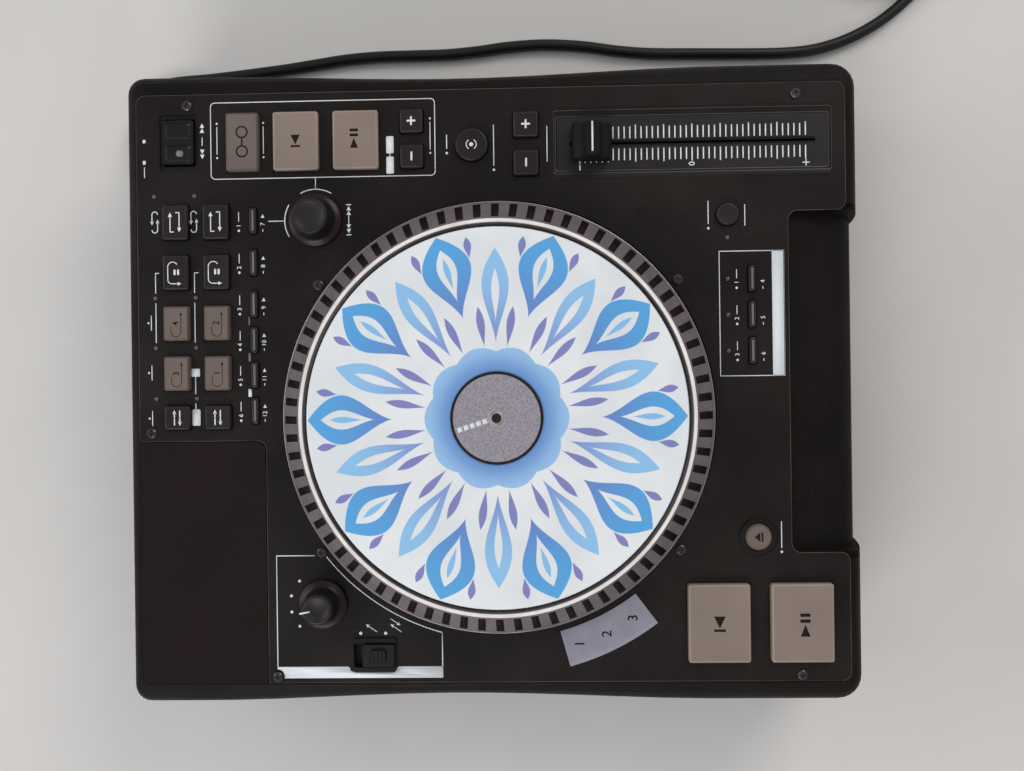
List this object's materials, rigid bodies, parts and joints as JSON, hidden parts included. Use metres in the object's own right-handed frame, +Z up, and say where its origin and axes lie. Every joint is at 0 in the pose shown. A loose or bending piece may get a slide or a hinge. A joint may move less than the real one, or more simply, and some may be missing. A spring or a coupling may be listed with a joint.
{
  "type": "tabletop disc player",
  "caption": "Tabletop player for disc jockeys: motor-driven platter with a loose control disc, pitch fader, knobs, lit keys, sloped front edge with a loading slot, and a mains lead.",
  "frame": {"origin": "on the floor, under the middle of the player's own box, without the cord", "axes": "+X to the user's right, -Y the front that faces the user, +Z up"},
  "size_m": [0.4738, 0.4651, 0.1061],
  "materials": {
    "chassis_paint": "black powder coat on sheet steel",
    "case_plastic": "moulded black ABS with a fine spark grain",
    "panel_paint": "satin black paint, screen printed in white",
    "foot_rubber": "soft black rubber",
    "black_steel": "blackened steel screws",
    "window": "smoked dark purple acrylic",
    "display_frame": "dull black frame with a grey glass face",
    "trim_plastic": "black plate, satin",
    "board": "green solder mask",
    "drive_frame": null,
    "motor_metal": "cast and machined",
    "indicator": "frosted blue-grey light guide",
    "jack_metal": "plated jack barrels",
    "platter_alloy": "cast, satin grey with a polished inner ring",
    "slipmat_felt": "thin black felt",
    "spindle_steel": "ground and polished steel",
    "disc_vinyl": "white printed vinyl with blue swirls",
    "label_paper": "dark grey textured label",
    "knob_plastic": "moulded black plastic, softly worn",
    "dark_key": "moulded black plastic keys",
    "pale_key": "translucent pale grey-brown keys, lit from inside when on",
    "cord_jacket": "black flexible PVC"
  },
  "bodies": {
    "deck": {"base_plate": "chassis_paint", "case_shell": "case_plastic", "top_panel": "panel_paint", "rear_panel": "chassis_paint", "rubber_feet": "foot_rubber", "screws": "black_steel", "display_window": "window", "display_module": "display_frame", "fader_track": "trim_plastic", "circuit_boards": "board", "disc_drive": "drive_frame", "motor_base": "motor_metal", "source_indicator": "indicator", "audio_jacks": "jack_metal", "strain_relief": "cord_jacket", "mains_cord": "cord_jacket", "cord_coil": "cord_jacket", "mains_plug": "cord_jacket"},
    "turntable": {"platter": "platter_alloy", "slipmat": "slipmat_felt", "spindle_rotor": "spindle_steel"},
    "disc": {"control_disc": "disc_vinyl", "disc_label": "label_paper"},
    "pitch_fader": {"fader_cap": "knob_plastic"},
    "parameter_dial": {"parameter_knob": "knob_plastic"},
    "selector_dial": {"selector_knob": "knob_plastic"},
    "scratch_slider": {"scratch_switch": "knob_plastic"},
    "search_lever": {"search_rocker": "knob_plastic"},
    "power_key": {"power_button": "knob_plastic"},
    "exit_key_a_cap": {"exit_key_a": "dark_key"},
    "loop_end_key_a_cap": {"loop_end_key_a": "dark_key"},
    "hot_key_high_a_cap": {"hot_key_high_a": "pale_key"},
    "hot_key_low_a_cap": {"hot_key_low_a": "pale_key"},
    "flip_key_a_cap": {"flip_key_a": "dark_key"},
    "exit_key_b_cap": {"exit_key_b": "dark_key"},
    "loop_end_key_b_cap": {"loop_end_key_b": "dark_key"},
    "hot_key_high_b_cap": {"hot_key_high_b": "pale_key"},
    "hot_key_low_b_cap": {"hot_key_low_b": "pale_key"},
    "flip_key_b_cap": {"flip_key_b": "dark_key"},
    "function_key_1_cap": {"function_key_1": "dark_key"},
    "function_key_2_cap": {"function_key_2": "dark_key"},
    "function_key_3_cap": {"function_key_3": "dark_key"},
    "function_key_4_cap": {"function_key_4": "dark_key"},
    "function_key_5_cap": {"function_key_5": "dark_key"},
    "function_key_6_cap": {"function_key_6": "dark_key"},
    "platter_mode_key_1_cap": {"platter_mode_key_1": "dark_key"},
    "platter_mode_key_2_cap": {"platter_mode_key_2": "dark_key"},
    "platter_mode_key_3_cap": {"platter_mode_key_3": "dark_key"},
    "mode_key_cap": {"mode_key": "pale_key"},
    "second_cue_key_cap": {"second_cue_key": "pale_key"},
    "second_play_key_cap": {"second_play_key": "pale_key"},
    "second_bend_up_key_cap": {"second_bend_up_key": "dark_key"},
    "second_bend_down_key_cap": {"second_bend_down_key": "dark_key"},
    "bend_up_key_cap": {"bend_up_key": "dark_key"},
    "bend_down_key_cap": {"bend_down_key": "dark_key"},
    "tap_button_cap": {"tap_button": "dark_key"},
    "pitch_button_cap": {"pitch_button": "dark_key"},
    "eject_button_cap": {"eject_button": "pale_key"},
    "cue_button_cap": {"cue_button": "pale_key"},
    "play_button_cap": {"play_button": "pale_key"}
  },
  "joints": [
    {"name": "platter_spin", "type": "hinge", "parent": "deck", "child": "turntable", "pos_m": [-0.015, -0.006, 0.09], "axis": [0, 0, 1], "continuous": true},
    {"name": "disc_spin", "type": "hinge", "parent": "turntable", "child": "disc", "pos_m": [-0.015, -0.006, 0.102], "axis": [0, 0, 1], "continuous": true},
    {"name": "fader_slide", "type": "slide", "parent": "deck", "child": "pitch_fader", "axis": [0, -1, 0], "range_m": [-0.0023, 0.0977]},
    {"name": "parameter_turn", "type": "hinge", "parent": "deck", "child": "parameter_dial", "pos_m": [0.08, 0.0805, 0.09], "axis": [0, 0, 1], "continuous": true},
    {"name": "selector_turn", "type": "hinge", "parent": "deck", "child": "selector_dial", "pos_m": [-0.1036, 0.0792, 0.09], "axis": [0, 0, 1], "range_deg": [-60, 30]},
    {"name": "scratch_slide", "type": "slide", "parent": "deck", "child": "scratch_slider", "axis": [0, 1, 0], "range_m": [0, 0.004]},
    {"name": "search_rock", "type": "hinge", "parent": "deck", "child": "search_lever", "pos_m": [0.1184, 0.1462, 0.079], "axis": [0, 1, 0], "range_deg": [-4, 4], "stiffness_Nm_per_rad": 0.15},
    {"name": "power_press", "type": "slide", "parent": "deck", "child": "power_key", "axis": [0, -1, 0], "range_m": [0, 0.003], "stiffness_N_per_m": 400, "springref_m": -0.0005},
    {"name": "exit_a_press", "type": "slide", "parent": "deck", "child": "exit_key_a_cap", "axis": [0, 0, -1], "range_m": [0, 0.0008], "stiffness_N_per_m": 400, "springref_m": -0.0005},
    {"name": "loop_end_a_press", "type": "slide", "parent": "deck", "child": "loop_end_key_a_cap", "axis": [0, 0, -1], "range_m": [0, 0.0008], "stiffness_N_per_m": 400, "springref_m": -0.0005},
    {"name": "hot_high_a_press", "type": "slide", "parent": "deck", "child": "hot_key_high_a_cap", "axis": [0, 0, -1], "range_m": [0, 0.0008], "stiffness_N_per_m": 400, "springref_m": -0.0005},
    {"name": "hot_low_a_press", "type": "slide", "parent": "deck", "child": "hot_key_low_a_cap", "axis": [0, 0, -1], "range_m": [0, 0.0008], "stiffness_N_per_m": 400, "springref_m": -0.0005},
    {"name": "flip_a_press", "type": "slide", "parent": "deck", "child": "flip_key_a_cap", "axis": [0, 0, -1], "range_m": [0, 0.0008], "stiffness_N_per_m": 400, "springref_m": -0.0005},
    {"name": "exit_b_press", "type": "slide", "parent": "deck", "child": "exit_key_b_cap", "axis": [0, 0, -1], "range_m": [0, 0.0008], "stiffness_N_per_m": 400, "springref_m": -0.0005},
    {"name": "loop_end_b_press", "type": "slide", "parent": "deck", "child": "loop_end_key_b_cap", "axis": [0, 0, -1], "range_m": [0, 0.0008], "stiffness_N_per_m": 400, "springref_m": -0.0005},
    {"name": "hot_high_b_press", "type": "slide", "parent": "deck", "child": "hot_key_high_b_cap", "axis": [0, 0, -1], "range_m": [0, 0.0008], "stiffness_N_per_m": 400, "springref_m": -0.0005},
    {"name": "hot_low_b_press", "type": "slide", "parent": "deck", "child": "hot_key_low_b_cap", "axis": [0, 0, -1], "range_m": [0, 0.0008], "stiffness_N_per_m": 400, "springref_m": -0.0005},
    {"name": "flip_b_press", "type": "slide", "parent": "deck", "child": "flip_key_b_cap", "axis": [0, 0, -1], "range_m": [0, 0.0008], "stiffness_N_per_m": 400, "springref_m": -0.0005},
    {"name": "function_1_press", "type": "slide", "parent": "deck", "child": "function_key_1_cap", "axis": [0, 0, -1], "range_m": [0, 0.0008], "stiffness_N_per_m": 400, "springref_m": -0.0005},
    {"name": "function_2_press", "type": "slide", "parent": "deck", "child": "function_key_2_cap", "axis": [0, 0, -1], "range_m": [0, 0.0008], "stiffness_N_per_m": 400, "springref_m": -0.0005},
    {"name": "function_3_press", "type": "slide", "parent": "deck", "child": "function_key_3_cap", "axis": [0, 0, -1], "range_m": [0, 0.0008], "stiffness_N_per_m": 400, "springref_m": -0.0005},
    {"name": "function_4_press", "type": "slide", "parent": "deck", "child": "function_key_4_cap", "axis": [0, 0, -1], "range_m": [0, 0.0008], "stiffness_N_per_m": 400, "springref_m": -0.0005},
    {"name": "function_5_press", "type": "slide", "parent": "deck", "child": "function_key_5_cap", "axis": [0, 0, -1], "range_m": [0, 0.0008], "stiffness_N_per_m": 400, "springref_m": -0.0005},
    {"name": "function_6_press", "type": "slide", "parent": "deck", "child": "function_key_6_cap", "axis": [0, 0, -1], "range_m": [0, 0.0008], "stiffness_N_per_m": 400, "springref_m": -0.0005},
    {"name": "platter_mode_1_press", "type": "slide", "parent": "deck", "child": "platter_mode_key_1_cap", "axis": [0, 0, -1], "range_m": [0, 0.0008], "stiffness_N_per_m": 400, "springref_m": -0.0005},
    {"name": "platter_mode_2_press", "type": "slide", "parent": "deck", "child": "platter_mode_key_2_cap", "axis": [0, 0, -1], "range_m": [0, 0.0008], "stiffness_N_per_m": 400, "springref_m": -0.0005},
    {"name": "platter_mode_3_press", "type": "slide", "parent": "deck", "child": "platter_mode_key_3_cap", "axis": [0, 0, -1], "range_m": [0, 0.0008], "stiffness_N_per_m": 400, "springref_m": -0.0005},
    {"name": "mode_press", "type": "slide", "parent": "deck", "child": "mode_key_cap", "axis": [0, 0, -1], "range_m": [0, 0.0008], "stiffness_N_per_m": 400, "springref_m": -0.0005},
    {"name": "second_cue_press", "type": "slide", "parent": "deck", "child": "second_cue_key_cap", "axis": [0, 0, -1], "range_m": [0, 0.0008], "stiffness_N_per_m": 400, "springref_m": -0.0005},
    {"name": "second_play_press", "type": "slide", "parent": "deck", "child": "second_play_key_cap", "axis": [0, 0, -1], "range_m": [0, 0.0008], "stiffness_N_per_m": 400, "springref_m": -0.0005},
    {"name": "second_bend_up_press", "type": "slide", "parent": "deck", "child": "second_bend_up_key_cap", "axis": [0, 0, -1], "range_m": [0, 0.0008], "stiffness_N_per_m": 400, "springref_m": -0.0005},
    {"name": "second_bend_down_press", "type": "slide", "parent": "deck", "child": "second_bend_down_key_cap", "axis": [0, 0, -1], "range_m": [0, 0.0008], "stiffness_N_per_m": 400, "springref_m": -0.0005},
    {"name": "bend_up_press", "type": "slide", "parent": "deck", "child": "bend_up_key_cap", "axis": [0, 0, -1], "range_m": [0, 0.0008], "stiffness_N_per_m": 400, "springref_m": -0.0005},
    {"name": "bend_down_press", "type": "slide", "parent": "deck", "child": "bend_down_key_cap", "axis": [0, 0, -1], "range_m": [0, 0.0008], "stiffness_N_per_m": 400, "springref_m": -0.0005},
    {"name": "tap_press", "type": "slide", "parent": "deck", "child": "tap_button_cap", "axis": [0, 0, -1], "range_m": [0, 0.0008], "stiffness_N_per_m": 400, "springref_m": -0.0005},
    {"name": "pitch_press", "type": "slide", "parent": "deck", "child": "pitch_button_cap", "axis": [0, 0, -1], "range_m": [0, 0.0008], "stiffness_N_per_m": 400, "springref_m": -0.0005},
    {"name": "eject_press", "type": "slide", "parent": "deck", "child": "eject_button_cap", "axis": [0, 0, -1], "range_m": [0, 0.0008], "stiffness_N_per_m": 400, "springref_m": -0.0005},
    {"name": "cue_press", "type": "slide", "parent": "deck", "child": "cue_button_cap", "axis": [0, 0, -1], "range_m": [0, 0.0008], "stiffness_N_per_m": 400, "springref_m": -0.0005},
    {"name": "play_press", "type": "slide", "parent": "deck", "child": "play_button_cap", "axis": [0, 0, -1], "range_m": [0, 0.0008], "stiffness_N_per_m": 400, "springref_m": -0.0005}
  ]
}
